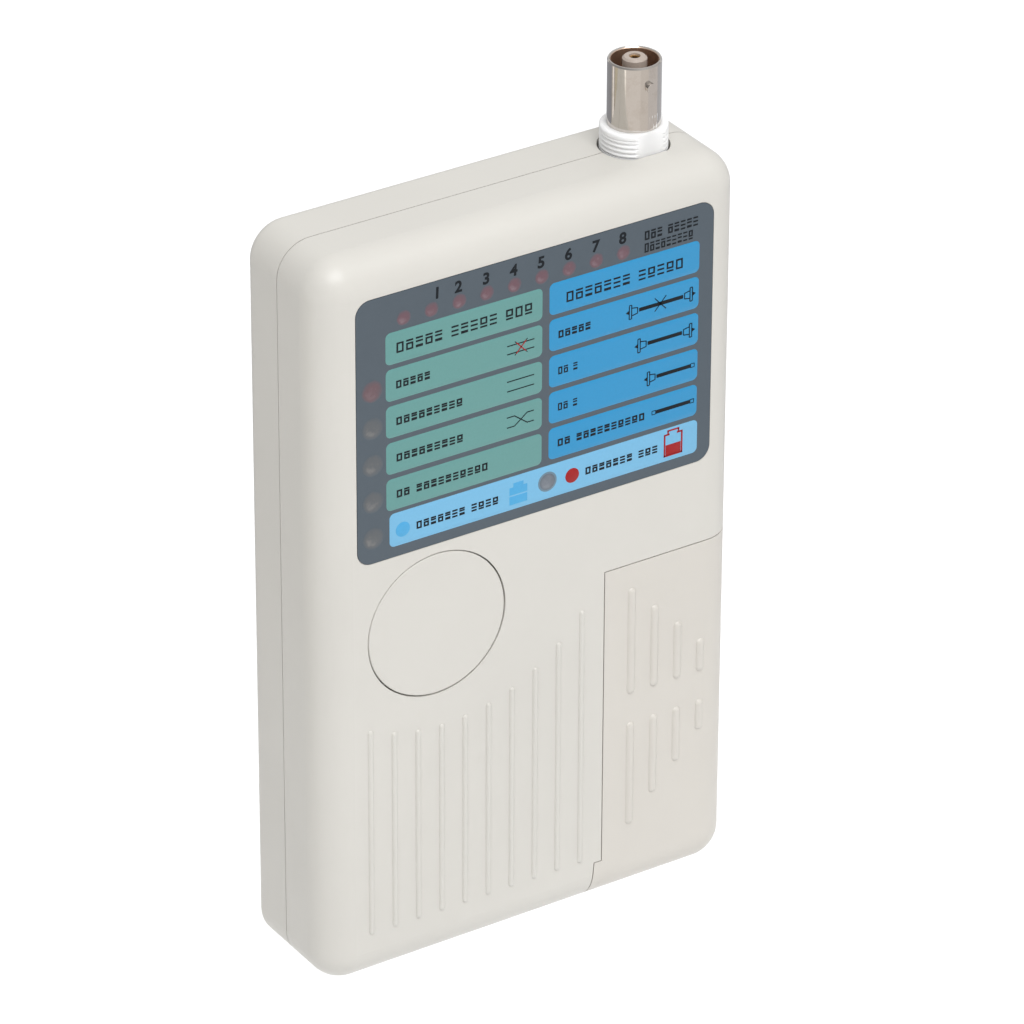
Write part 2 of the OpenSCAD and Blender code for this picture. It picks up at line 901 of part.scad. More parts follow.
module coax_body() { color(white_plastic) at_main_coax() coax_body_form(); }
module coax_barrel() { color(metal) at_main_coax() coax_barrel_form(); }
module coax_insulator() { color([0.78, 0.73, 0.68]) at_main_coax() coax_insulator_form(); }
module coax_contact() { color(gold) at_main_coax() coax_contact_form(); }
module coax_pins() { color(metal) at_main_coax() coax_pins_form(); }
module remote_coax_body() { color(white_plastic) at_remote_coax() coax_body_form(); }
module remote_coax_barrel() { color(metal) at_remote_coax() coax_barrel_form(); }
module remote_coax_insulator() { color([0.78, 0.73, 0.68]) at_remote_coax() coax_insulator_form(); }
module remote_coax_contact() { color(gold) at_remote_coax() coax_contact_form(); }
module remote_coax_pins() { color(metal) at_remote_coax() coax_pins_form(); }

// ---------- side sockets, built at the origin ----------
// The mouth is at x = 0 and opens to +X; the board's face is at y = 0

module jack_form() {
    difference() {
        block(-jack_l, 0, 0, jack_h, -jack_w / 2, jack_w / 2);
        block(-jack_mouth_l, 1, 2.2, 9.2, -jack_mouth_w / 2, jack_mouth_w / 2);
        block(-jack_mouth_l, 1, 0.9, 3, -3.1, 3.1);
    }
}

// Eight springy contacts that slope down from the roof of the mouth
module jack_contacts_form() {
    pitch = 1.02;
    for (i = [0 : 7]) translate([0, 0, (i - 3.5) * pitch - 0.2]) linear_extrude(0.4) polygon([
        [-jack_mouth_l, 8.9], [-3, 9.1], [-1.6, 9.1], [-1.6, 8.8], [-jack_mouth_l, 7.2]
    ]);
}

module usb_shell_form() {
    t = 0.3;
    difference() {
        block(-usb_l, 0, 0, usb_h, -usb_w / 2, usb_w / 2);
        block(-usb_l + t, 1, t, usb_h - t, -usb_w / 2 + t, usb_w / 2 - t);
    }
}

module usb_tongue_form() {
    block(-usb_l + 0.3, -9.5, 0.3, usb_h - 0.3, -usb_w / 2 + 0.3, usb_w / 2 - 0.3);
    block(-9.6, -1.2, 3.1, 4.9, -5.5, 5.5);
}

module usb_contacts_form() {
    for (z = [-3.5, -1, 1, 3.5]) block(-9.5, -2, 2.95, 3.1, z - 0.5, z + 0.5);
}

// Square data socket: metal shell round a plastic core with a block in its mouth
module usb_b_shell_form() {
    t = 0.3;
    difference() {
        block(-usb_b_l, 0, 0, usb_b_h, -usb_b_w / 2, usb_b_w / 2);
        block(-usb_b_l + t, 1, t, usb_b_h - t, -usb_b_w / 2 + t, usb_b_w / 2 - t);
    }
}

module usb_b_core_form() {
    t = 0.3;
    mouth_w = 8.5;
    mouth_h = 7.8;
    corner = 1.6;
    mid = usb_b_h / 2;
    difference() {
        block(-usb_b_l + t, -0.2, t, usb_b_h - t, -usb_b_w / 2 + t, usb_b_w / 2 - t);
        translate([-9, mid, 0]) rotate([90, 0, 90]) linear_extrude(10) polygon([
            [-mouth_h / 2, -mouth_w / 2], [mouth_h / 2 - corner, -mouth_w / 2],
            [mouth_h / 2, -mouth_w / 2 + corner], [mouth_h / 2, mouth_w / 2 - corner],
            [mouth_h / 2 - corner, mouth_w / 2], [-mouth_h / 2, mouth_w / 2]
        ]);
    }
    block(-9.2, -0.8, mid - 1.6, mid + 1.6, -2.8, 2.8);
}

module usb_b_contacts_form() {
    mid = usb_b_h / 2;
    for (side = [-1, 1], z = [-1.25, 1.25])
        block(-9, -1.6, min(mid + side * 1.6, mid + side * 1.75),
              max(mid + side * 1.6, mid + side * 1.75), z - 0.5, z + 0.5);
}

module at_port(z) {
    translate([port_x, board_y1, z]) children();
}

module modular_jack() { color(black_plastic) at_port(jack_z) jack_form(); }
module jack_contacts() { color(gold) at_port(jack_z) jack_contacts_form(); }
module usb_shell() { color(metal) at_port(usb_z) usb_shell_form(); }
module usb_tongue() { color(white_plastic) at_port(usb_z) usb_tongue_form(); }
module usb_contacts() { color(gold) at_port(usb_z) usb_contacts_form(); }
module remote_modular_jack() { color(black_plastic) at_port(remote_jack_z) jack_form(); }
module remote_jack_contacts() { color(gold) at_port(remote_jack_z) jack_contacts_form(); }
module remote_usb_shell() { color(metal) at_port(remote_usb_z) usb_b_shell_form(); }
module remote_usb_core() { color(white_plastic) at_port(remote_usb_z) usb_b_core_form(); }
module remote_usb_contacts() { color(gold) at_port(remote_usb_z) usb_b_contacts_form(); }

// ---------- battery ----------

module battery() {
    color([0.16, 0.17, 0.20]) translate([bat_x, bat_y + bat_d / 2, bat_z])
        linear_extrude(bat_can_h) round_rect(bat_w, bat_d, 1.8);
}

module battery_terminals() {
    mid_y = bat_y + bat_d / 2;
    z = bat_z + bat_can_h;
    color(metal) {
        bar_z(bat_x - terminal_dx, mid_y, 2.85, z, z + terminal_h);
        translate([bat_x + terminal_dx, mid_y, z]) difference() {
            cylinder(r = 4.2, h = terminal_h, $fn = 6);
            translate([0, 0, 0.4]) cylinder(r = 2.9, h = terminal_h);
        }
    }
}

module battery_snap() {
    mid_y = bat_y + bat_d / 2;
    color(black_plastic) difference() {
        translate([bat_x, mid_y, snap_z0]) linear_extrude(snap_h) round_rect(25, 12, 2);
        bar_z(bat_x - terminal_dx, mid_y, 3.05, snap_z0 - 1, snap_z0 + 2.4);
        bar_z(bat_x + terminal_dx, mid_y, 4.4, snap_z0 - 1, snap_z0 + 2.4);
    }
}

// Lead from the snap up through the compartment's roof, then forward to the board
module lead(side) {
    x = bat_x + side * lead_dx;
    turn_z = bay_top + bay_wall + 3.4;
    bar_z(x, lead_y, lead_r, snap_z0 + snap_h, turn_z);
    translate([x, lead_y - lead_bend, turn_z]) rotate([90, 0, 90])
        rotate_extrude(angle = 90) translate([lead_bend, 0]) circle(lead_r);
    bar_y(x, turn_z + lead_bend, lead_r, board_y1, lead_y - lead_bend);
}

module lead_red() { color([0.7, 0.08, 0.06]) lead(1); }
module lead_black() { color(black_plastic) lead(-1); }

// ---------- fasteners of the main unit ----------

module case_screws() { color(metal) for (at = case_screw_at) case_screw(at); }
module board_screws() { color(metal) for (at = board_screw_at) board_screw(at); }

// ---------- remote unit ----------

module remote_front_shell() {
    color(ivory) difference() {
        union() {
            difference() {
                intersection() {
                    front_form(0);
                    slab(face_y - 1, seam_y - seam_gap / 2) remote_share(0);
                }
                intersection() {
                    front_form(wall);
                    slab(face_y - 1, seam_y + 1) remote_share(wall);
                }
                slab(seam_y - lip_h - lip_clear, seam_y + 1) remote_outline(wall / 2);
            }
            remote_ribs();
            intersection() {
                front_form(wall / 2);
                union() {
                    for (at = remote_screw_at) front_boss(at);
                    for (at = remote_board_screw_at) board_post(at);
                }
            }
        }
        for (at = remote_screw_at) front_boss_hole(at);
        for (at = remote_board_screw_at) board_post_hole(at);
        coax_opening(dock_z - wall - 1, dock_z + 1);
        port_opening(jack_w, jack_h, remote_jack_z);
        port_opening(usb_b_w, usb_b_h, remote_usb_z);
    }
}

module remote_back_shell() {
    head_x0 = rail_root_x + rail_neck_l - rail_clear;
    head_x1 = rail_root_x + rail_neck_l + rail_head_l + rail_clear;
    neck = rail_neck_w / 2 + rail_clear;
    head = rail_head_w / 2 + rail_clear;
    color(ivory) difference() {
        union() {
            difference() {
                intersection() {
                    back_form(0);
                    slab(seam_y + seam_gap / 2, back_y + 1) remote_share(0);
                }
                intersection() {
                    back_form(wall);
                    slab(seam_y - 1, back_y + 1) remote_share(wall);
                }
            }
            slab(seam_y - lip_h, seam_y + 1) difference() {
                remote_outline(wall / 2 + lip_clear);
                remote_outline(lip_inset);
            }
            for (at = remote_screw_at) back_boss(at);
            // walls of the slot
            block(slot_face_x + 0.1, head_x1 + 1.2, rail_y - head - 1.2, rail_y + head + 1.2,
                  slot_z0 - 1.2, dock_z - half_gap - 0.1);
        }
        for (at = remote_screw_at) back_boss_hole(at);
        block(slot_face_x - 1, head_x0 + 0.1, rail_y - neck, rail_y + neck, slot_z0, dock_z + 1);
        block(head_x0, head_x1, rail_y - head, rail_y + head, slot_z0, dock_z + 1);
        coax_opening(dock_z - wall - 1, dock_z + 1);
        port_opening(jack_w, jack_h, remote_jack_z);
        port_opening(usb_b_w, usb_b_h, remote_usb_z);
    }
}

module remote_board() {
    x0 = dock_x + half_gap + wall + 3.2;
    x1 = case_w / 2 - wall - 0.7;
    top = dock_z - half_gap - wall - 0.8;
    bottom = 5.4;
    color(board_green) slab(board_y0, board_y1) difference() {
        translate([x0, bottom]) square([x1 - x0, top - bottom]);
        board_holes(remote_board_screw_at);
        for (at = remote_screw_at) translate(at) square(2 * boss_r + 1.6, center = true);
        // the corner beyond the upper boss
        translate(remote_screw_at[0]) square(10);
        coax_pin_holes(coax_x, dock_z - half_gap);
    }
}

module remote_small_parts() {
    color([0.5, 0.45, 0.38]) {
        small_parts(23, 34, 5, 2.6);
        small_parts(23, 14, 6, 2.6);
    }
}

module remote_case_screws() { color(metal) for (at = remote_screw_at) case_screw(at); }
module remote_board_screws() { color(metal) for (at = remote_board_screw_at) board_screw(at); }

// ---------- assembly ----------

front_shell();
back_shell();
battery_door();
overlay_film();
test_button();
tact_switch();
tact_plunger();
tact_terminals();
main_board();
pin_leds();
condition_leds();
battery_led();
controller_chip();
logic_chips();
chip_legs();
crystal();
reservoir_capacitor();
main_small_parts();
coax_body();
coax_barrel();
coax_insulator();
coax_contact();
coax_pins();
modular_jack();
jack_contacts();
usb_shell();
usb_tongue();
usb_contacts();
battery();
battery_terminals();
battery_snap();
lead_red();
lead_black();
case_screws();
board_screws();
remote_front_shell();
remote_back_shell();
remote_board();
remote_modular_jack();
remote_jack_contacts();
remote_usb_shell();
remote_usb_core();
remote_usb_contacts();
remote_coax_body();
remote_coax_barrel();
remote_coax_insulator();
remote_coax_contact();
remote_coax_pins();
remote_small_parts();
remote_case_screws();
remote_board_screws();
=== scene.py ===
import json
import math

import bmesh
import bpy
from mathutils import Matrix, Vector
from mathutils.geometry import tessellate_polygon


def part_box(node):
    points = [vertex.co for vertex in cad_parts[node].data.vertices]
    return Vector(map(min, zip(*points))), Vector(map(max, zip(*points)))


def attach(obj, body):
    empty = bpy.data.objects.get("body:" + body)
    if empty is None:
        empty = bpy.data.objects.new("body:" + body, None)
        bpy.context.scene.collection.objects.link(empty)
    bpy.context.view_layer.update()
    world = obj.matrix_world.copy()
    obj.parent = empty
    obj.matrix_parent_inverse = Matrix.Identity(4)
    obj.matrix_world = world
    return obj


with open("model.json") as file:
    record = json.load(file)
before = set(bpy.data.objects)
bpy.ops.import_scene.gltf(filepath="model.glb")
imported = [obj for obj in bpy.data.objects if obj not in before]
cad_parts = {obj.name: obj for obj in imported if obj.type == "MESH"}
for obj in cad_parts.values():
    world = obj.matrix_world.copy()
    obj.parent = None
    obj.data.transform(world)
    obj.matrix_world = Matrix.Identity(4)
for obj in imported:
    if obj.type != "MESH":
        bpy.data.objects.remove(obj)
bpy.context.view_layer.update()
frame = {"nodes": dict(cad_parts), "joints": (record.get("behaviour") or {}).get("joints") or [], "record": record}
NODES = frame["nodes"]
MM = 0.001

# ---------- places taken from the frame ----------

FILM_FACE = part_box("overlay_film")[0].y
PIN_LO, PIN_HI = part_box("pin_leds")
COND_LO, COND_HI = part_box("condition_leds")
BAT_LO, BAT_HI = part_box("battery_led")
BARREL_LO, BARREL_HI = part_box("coax_barrel")
BARREL_X = (BARREL_LO.x + BARREL_HI.x) / 2
BARREL_Y = (BARREL_LO.y + BARREL_HI.y) / 2


# ---------- camera ----------

# Degrees that the camera stands round to the left of the front, looks down, and tilts
CAMERA_AZIMUTH, CAMERA_ELEVATION, CAMERA_ROLL = 32.947, 29.526, 0.232


def make_camera():
    """A long lens, aimed at the middle of the object."""
    aim = Vector((2.19, -1.40, 80.79)) * MM
    distance = 1210.86 * MM
    azimuth, elevation, roll = (math.radians(a) for a in (CAMERA_AZIMUTH, CAMERA_ELEVATION, CAMERA_ROLL))
    forward = Vector((math.sin(azimuth) * math.cos(elevation),
                      math.cos(azimuth) * math.cos(elevation),
                      -math.sin(elevation)))
    level_right = Vector((math.cos(azimuth), -math.sin(azimuth), 0))
    level_up = level_right.cross(forward)
    right = level_right * math.cos(roll) + level_up * math.sin(roll)
    up = right.cross(forward)
    data = bpy.data.cameras.new("camera")
    data.lens = 240.2
    data.sensor_width = 36
    data.clip_start = 0.05
    data.clip_end = 20
    camera = bpy.data.objects.new("camera", data)
    axes = Matrix((right, up, -forward)).transposed().to_4x4()
    camera.matrix_world = Matrix.Translation(aim - forward * distance) @ axes
    bpy.context.scene.collection.objects.link(camera)
    bpy.context.scene.camera = camera


make_camera()


# ---------- materials ----------
# A bump's distance is the height of a full step in the texture.

PLASTIC_IOR = 1.5
FILM_COLOR = (0.057, 0.079, 0.101)
IVORY = (0.560, 0.545, 0.508)
REMOTE_IVORY = (0.555, 0.530, 0.488)


class Surface:
    """A node material with short ways to add and join its nodes."""

    def __init__(self, name, color, roughness, metallic=0.0, **sockets):
        self.material = bpy.data.materials.new(name)
        self.material.use_nodes = True
        self.nodes = self.material.node_tree.nodes
        self.links = self.material.node_tree.links
        self.shader = self.nodes["Principled BSDF"]
        self.shader.inputs["Base Color"].default_value = (*color, 1)
        self.shader.inputs["Roughness"].default_value = roughness
        self.shader.inputs["Metallic"].default_value = metallic
        for socket, value in sockets.items():
            self.shader.inputs[socket.replace("_", " ")].default_value = value
        self.place = self.add("ShaderNodeTexCoord").outputs["Object"]

    def add(self, kind, inputs=None, **settings):
        node = self.nodes.new(kind)
        for name, value in settings.items():
            setattr(node, name, value)
        for name, value in (inputs or {}).items():
            if isinstance(value, bpy.types.NodeSocket):
                self.links.new(value, node.inputs[name])
            else:
                node.inputs[name].default_value = value
        return node

    def stretched(self, x=1.0, y=1.0, z=1.0):
        """Object coordinates, stretched along the axes."""
        node = self.add("ShaderNodeMapping", {"Vector": self.place, "Scale": (x, y, z)})
        return node.outputs["Vector"]

    def noise(self, scale, detail=2.0, rough=0.5, vector=None):
        return self.add("ShaderNodeTexNoise", {
            "Vector": vector or self.place, "Scale": scale, "Detail": detail, "Roughness": rough,
        }).outputs["Fac"]

    def remap(self, value, low, high, to_low, to_high):
        """Carries low..high over to to_low..to_high, and stops at both ends."""
        return self.add("ShaderNodeMapRange", {
            "Value": value, "From Min": low, "From Max": high, "To Min": to_low, "To Max": to_high,
        }).outputs["Result"]

    def calc(self, operation, *values):
        """A math node on numbers or sockets."""
        node = self.add("ShaderNodeMath", dict(enumerate(values)), operation=operation)
        return node.outputs["Value"]

    def mix(self, factor, one, two):
        """Goes from colour one at factor 0 to colour two at factor 1."""
        node = self.add("ShaderNodeMix", data_type="RGBA")
        sockets = (node.inputs["Factor"], node.inputs[6], node.inputs[7])
        for socket, value in zip(sockets, (factor, one, two)):
            if isinstance(value, bpy.types.NodeSocket):
                self.links.new(value, socket)
            else:
                socket.default_value = (*value, 1) if isinstance(value, tuple) else value
        return node.outputs[2]

    def color(self, output):
        self.links.new(output, self.shader.inputs["Base Color"])
        return self

    def roughness(self, output):
        self.links.new(output, self.shader.inputs["Roughness"])
        return self

    def bump(self, height, distance, strength=1.0):
        """Adds relief on top of the relief that is there."""
        inputs = {"Height": height, "Distance": distance, "Strength": strength}
        last = self.shader.inputs["Normal"]
        if last.links:
            inputs["Normal"] = last.links[0].from_socket
        node = self.add("ShaderNodeBump", inputs)
        self.links.new(node.outputs["Normal"], last)
        return self


def shade(color, factor):
    """The colour made lighter or darker."""
    return tuple(min(1.0, c * factor) for c in color)


def casing_plastic(name, color):
    """Moulded ivory plastic with a fine spark-eroded grain and faint handling marks."""
    dust = (0.52, 0.47, 0.38)
    s = Surface(name, color, 0.42, IOR=PLASTIC_IOR)
    cloud = s.noise(28, 4, 0.6)
    fine = s.noise(2600, 2, 0.6)
    marks = s.noise(240, 5, 0.75)
    base = s.mix(s.remap(cloud, 0.35, 0.65, 0, 1), shade(color, 0.985), shade(color, 1.012))
    s.color(s.mix(s.remap(marks, 0.60, 0.80, 0, 0.10), base, dust))
    s.roughness(s.remap(s.noise(90, 4, 0.6), 0.3, 0.7, 0.37, 0.47))
    s.bump(fine, 0.012 * MM, 0.55)
    s.bump(s.noise(60, 2, 0.5), 0.06 * MM, 0.35)
    return s.material


def moulded_plastic(name, color, roughness):
    """Plain moulded plastic with a light grain."""
    s = Surface(name, color, roughness, IOR=PLASTIC_IOR)
    s.color(s.mix(s.noise(400, 3), shade(color, 0.93), shade(color, 1.06)))
    s.roughness(s.remap(s.noise(700, 3), 0.3, 0.7, roughness - 0.06, roughness + 0.06))
    s.bump(s.noise(3200, 2), 0.006 * MM, 0.6)
    return s.material


def film_plastic():
    """Slate grey polyester film, printed on its back and finely textured on its face."""
    s = Surface("panel_film", FILM_COLOR, 0.38, IOR=PLASTIC_IOR)
    s.color(s.mix(s.noise(1500, 2), shade(FILM_COLOR, 0.96), shade(FILM_COLOR, 1.04)))
    s.roughness(s.remap(s.noise(300, 3), 0.3, 0.7, 0.34, 0.44))
    s.bump(s.noise(4200, 2), 0.006 * MM, 0.5)
    return s.material


def print_ink(name, color, roughness=0.4, gloss=0.5):
    """Screen-printed ink: a little mottled, with the grain of the film."""
    s = Surface(name, color, roughness, IOR=PLASTIC_IOR, Specular_IOR_Level=gloss)
    s.color(s.mix(s.noise(2200, 3), shade(color, 0.94), shade(color, 1.05)))
    s.roughness(s.remap(s.noise(500, 2), 0.3, 0.7, roughness - 0.05, roughness + 0.05))
    s.bump(s.noise(4200, 2), 0.005 * MM, 0.5)
    return s.material


def nickel_plate():
    """Bright nickel with faint draw lines along the tube, dull patches, scratches near its foot on
    the right, and a brown bore."""
    color, dull = (0.60, 0.565, 0.53), (0.42, 0.37, 0.31)
    bright, brown = (0.92, 0.91, 0.90), (0.62, 0.45, 0.34)
    s = Surface("nickel", color, 0.1, metallic=1.0)
    lines = s.noise(1, 3, 0.6, s.stretched(2600, 2600, 120))
    patches = s.noise(420, 4, 0.65)
    worn = s.mix(s.remap(patches, 0.50, 0.78, 0, 0.35), color, dull)
    # scratches: upright strokes in a low band, on the right half of the barrel
    place = s.add("ShaderNodeSeparateXYZ", {"Vector": s.place}).outputs
    foot = BARREL_LO.z + 5.2 * MM
    low = s.calc("MULTIPLY", s.remap(place["Z"], foot + 2.6 * MM, foot + 2.9 * MM, 1, 0),
                 s.remap(place["Z"], foot, foot + 0.3 * MM, 0, 1))
    side = s.calc("MULTIPLY", low, s.remap(place["X"], BARREL_X, BARREL_X + 0.4 * MM, 0, 1))
    strokes = s.remap(s.noise(1, 1, 0.5, s.stretched(2600, 2600, 520)), 0.60, 0.66, 0, 1)
    scratch = s.calc("MULTIPLY", side, strokes)
    # bore: everything nearer the barrel's axis than its wall
    across = s.add("ShaderNodeVectorMath", {0: s.place, 1: (BARREL_X, BARREL_Y, 0)}, operation="SUBTRACT")
    level = s.add("ShaderNodeVectorMath", {0: across.outputs[0], 1: (1, 1, 0)}, operation="MULTIPLY")
    radius = s.add("ShaderNodeVectorMath", {0: level.outputs[0]}, operation="LENGTH").outputs["Value"]
    inside = s.remap(radius, 4.25 * MM, 4.35 * MM, 1, 0)
    s.color(s.mix(inside, s.mix(scratch, worn, bright), brown))
    s.roughness(s.calc("MULTIPLY_ADD", inside, 0.3, s.remap(patches, 0.35, 0.75, 0.07, 0.17)))
    s.bump(lines, 0.01 * MM, 0.35)
    s.bump(s.noise(650, 2), 0.03 * MM, 0.25)
    s.bump(scratch, 0.06 * MM, 0.6)
    return s.material


def plain_metal(name, color, roughness):
    """Plated or tinned metal with fine working lines."""
    s = Surface(name, color, roughness, metallic=1.0)
    s.color(s.mix(s.noise(500, 3), shade(color, 0.86), shade(color, 1.05)))
    s.roughness(s.remap(s.noise(900, 3), 0.3, 0.7, roughness - 0.08, roughness + 0.1))
    s.bump(s.noise(1, 2, 0.5, s.stretched(1500, 1500, 90)), 0.008 * MM, 0.5)
    return s.material


def thread_plastic():
    """White, slightly translucent nylon-like plastic."""
    color = (0.85, 0.85, 0.85)
    s = Surface("socket_white", color, 0.36, IOR=PLASTIC_IOR, Subsurface_Weight=0.5,
                Subsurface_Scale=2 * MM, Subsurface_Radius=(1, 1, 1))
    s.color(s.mix(s.noise(300, 3), shade(color, 0.97), shade(color, 1.02)))
    s.bump(s.noise(1800, 2), 0.008 * MM, 0.4)
    return s.material


def board_laminate():
    """Green solder mask over copper tracks, with a grid of through holes."""
    mask, track = (0.012, 0.075, 0.035), (0.022, 0.125, 0.055)
    s = Surface("board_laminate", mask, 0.3, IOR=PLASTIC_IOR)
    upright = s.add("ShaderNodeMapping", {
        "Vector": s.place, "Rotation": (math.pi / 2, 0, 0), "Scale": (160, 160, 160),
    }).outputs["Vector"]
    grid = s.add("ShaderNodeTexBrick", {
        "Vector": upright,
        "Color1": (1, 1, 1, 1), "Color2": (0.9, 0.9, 0.9, 1), "Mortar": (0, 0, 0, 1),
        "Scale": 1.0, "Mortar Size": 0.08, "Brick Width": 0.9, "Row Height": 0.3,
    }).outputs["Fac"]
    s.color(s.mix(grid, mask, track))
    s.roughness(s.remap(s.noise(300, 3), 0.3, 0.7, 0.24, 0.36))
    s.bump(grid, 0.03 * MM, 0.6)
    return s.material


def battery_jacket():
    """Plain jacket: dark below, a copper-coloured band on top, in a shrink film."""
    dark, band = (0.018, 0.020, 0.026), (0.50, 0.24, 0.09)
    lo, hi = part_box("battery")
    s = Surface("battery_jacket", dark, 0.3, IOR=PLASTIC_IOR)
    height = s.add("ShaderNodeSeparateXYZ", {"Vector": s.place}).outputs["Z"]
    edge = hi.z - 0.26 * (hi.z - lo.z)
    s.color(s.mix(s.remap(height, edge, edge + 0.2 * MM, 0, 1), dark, band))
    s.roughness(s.remap(s.noise(160, 3), 0.3, 0.7, 0.24, 0.36))
    s.bump(s.noise(90, 3), 0.1 * MM, 0.25)
    return s.material


def lead_insulation(name, color):
    """Soft PVC, with fine lines along the leads."""
    s = Surface(name, color, 0.45, IOR=PLASTIC_IOR)
    s.color(s.mix(s.noise(600, 3), shade(color, 0.8), shade(color, 1.15)))
    s.bump(s.noise(1, 2, 0.5, s.stretched(900, 900, 200)), 0.02 * MM, 0.4)
    return s.material


def ceramic_parts():
    """Speckled brown and tan bodies of the small board parts."""
    brown, tan = (0.24, 0.18, 0.11), (0.52, 0.45, 0.34)
    s = Surface("ceramic_parts", (0.34, 0.27, 0.18), 0.5, IOR=PLASTIC_IOR)
    speckle = s.noise(1400, 3)
    s.color(s.mix(s.remap(speckle, 0.35, 0.65, 0, 1), brown, tan))
    s.bump(speckle, 0.02 * MM, 0.4)
    return s.material


def led_epoxy(name, centre, edge):
    """Lens seen through the film: the vertex attribute goes from the film's colour at 0, by the
    lens's own at 0.5, to the pale crescent at 1, a painted highlight that stands for the lit edge of the hole
    behind the film."""
    s = Surface(name, centre, 0.35, IOR=PLASTIC_IOR)
    light = s.add("ShaderNodeAttribute", attribute_name="light").outputs["Fac"]
    mottled = s.calc("ADD", light, s.remap(s.noise(1300, 3), 0.3, 0.7, -0.07, 0.07))
    inner = s.mix(s.remap(mottled, 0.0, 0.5, 0, 1), FILM_COLOR, centre)
    # above 0.5 the edge colour is mixed in: a painted highlight for the lit edge of the hole behind the film
    s.color(s.mix(s.remap(mottled, 0.5, 1.0, 0, 1), inner, edge))
    s.bump(s.noise(4200, 2), 0.006 * MM, 0.5)
    return s.material


MATERIALS = {
    "casing": casing_plastic("casing", IVORY),
    "remote_casing": casing_plastic("remote_casing", REMOTE_IVORY),
    "panel_film": film_plastic(),
    "black_plastic": moulded_plastic("black_plastic", (0.020, 0.020, 0.023), 0.42),
    "socket_white": thread_plastic(),
    "insulator": moulded_plastic("insulator", (0.40, 0.34, 0.295), 0.5),
    "nickel": nickel_plate(),
    "shell_steel": plain_metal("shell_steel", (0.60, 0.59, 0.57), 0.28),
    "screw_steel": plain_metal("screw_steel", (0.47, 0.46, 0.44), 0.33),
    "tinned_leads": plain_metal("tinned_leads", (0.62, 0.61, 0.58), 0.3),
    "gold_contact": plain_metal("gold_contact", (0.72, 0.47, 0.17), 0.28),
    "board_laminate": board_laminate(),
    "led_red": moulded_plastic("led_red", (0.42, 0.07, 0.07), 0.3),
    "led_pale": moulded_plastic("led_pale", (0.52, 0.50, 0.44), 0.3),
    "battery_jacket": battery_jacket(),
    "capacitor_sleeve": moulded_plastic("capacitor_sleeve", (0.012, 0.016, 0.07), 0.3),
    "wire_red": lead_insulation("wire_red", (0.36, 0.015, 0.012)),
    "wire_black": lead_insulation("wire_black", (0.014, 0.014, 0.014)),
    "ceramic_parts": ceramic_parts(),
}


def dress_frame():
    """Gives every CAD node the material of its slot."""
    for part in frame["record"]["subparts"]:
        node = NODES[part["node"]]
        node.data.materials.clear()
        node.data.materials.append(MATERIALS[part["material_slot"]])


dress_frame()


# ---------- moulded edge on the button ----------


def soften(name, width):
    """Rounds the sharp edges of a CAD node by a small width, with modifiers only."""
    node = NODES[name]
    weld = node.modifiers.new("weld", "WELD")
    weld.merge_threshold = 0.002 * MM
    flat = node.modifiers.new("flat_faces", "DECIMATE")
    flat.decimate_type = "DISSOLVE"
    flat.angle_limit = math.radians(0.2)
    bevel = node.modifiers.new("bevel", "BEVEL")
    bevel.width = width
    bevel.segments = 2
    bevel.limit_method = "ANGLE"
    bevel.angle_limit = math.radians(34)
    bevel.miter_outer = "MITER_ARC"
    bevel.harden_normals = True


soften("test_button", 0.22 * MM)


# ---------- mesh helpers ----------


def add_piece(name, bm, material, body, smooth=True):
    """Turns a bmesh into a piece that rides on a body and has the given material."""
    bmesh.ops.recalc_face_normals(bm, faces=bm.faces)
    mesh = bpy.data.meshes.new(name)
    bm.to_mesh(mesh)
    bm.free()
    mesh.materials.append(material)
    if smooth:
        mesh.shade_smooth()
        mesh.set_sharp_from_angle(angle=math.radians(38))
    piece = bpy.data.objects.new(name, mesh)
    bpy.context.scene.collection.objects.link(piece)
    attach(piece, body)


def rounded_outline(x0, x1, z0, z1, r, steps=8):
    """Corner points of a rectangle with round corners, in millimetres."""
    points = []
    corners = ((x1 - r, z1 - r, 0), (x0 + r, z1 - r, 90), (x0 + r, z0 + r, 180), (x1 - r, z0 + r, 270))
    for cx, cz, start in corners:
        for i in range(steps + 1):
            a = math.radians(start + 90 * i / steps)
            points.append((cx + r * math.cos(a), cz + r * math.sin(a)))
    return points


def add_plate(bm, outline, base, top, edge=0.0):
    """A closed plate on the front: outline in X and Z in mm, from y = base out to y = top in metres.
    The edge, in mm, is how far the front face draws in."""
    count = len(outline)
    cx = sum(p[0] for p in outline) / count
    cz = sum(p[1] for p in outline) / count
    reach = max(math.hypot(x - cx, z - cz) for x, z in outline)
    inset = 1 - edge / reach
    rings = [[(x, base, z) for x, z in outline], [(x, (base + top) / 2, z) for x, z in outline],
             [(cx + (x - cx) * inset, top, cz + (z - cz) * inset) for x, z in outline]]
    made = [[bm.verts.new((x * MM, y, z * MM)) for x, y, z in ring] for ring in rings]
    for a, b in zip(made, made[1:]):
        for i in range(count):
            j = (i + 1) % count
            bm.faces.new((a[i], a[j], b[j], b[i]))
    for ring in (made[0], made[-1]):
        flat = [Vector((v.co.x, v.co.z, 0)) for v in ring]
        for tri in tessellate_polygon([flat]):
            bm.faces.new([ring[k] for k in tri])


# Thickness of a layer of print; each lies on the last
INK = 0.022 * MM


def layer(number):
    """The film's face is layer 0. Returns where a layer starts and ends."""
    return FILM_FACE - INK * (number - 1) + 0.004 * MM, FILM_FACE - INK * number


def print_plates(name, outlines, ink, number=1, edge=0.03):
    """One piece of print on the film, in the given layer."""
    bm = bmesh.new()
    base, top = layer(number)
    for outline in outlines:
        add_plate(bm, outline, base, top, edge)
    add_piece(name, bm, ink, "main_unit")


# ---------- print on the read-out panel ----------

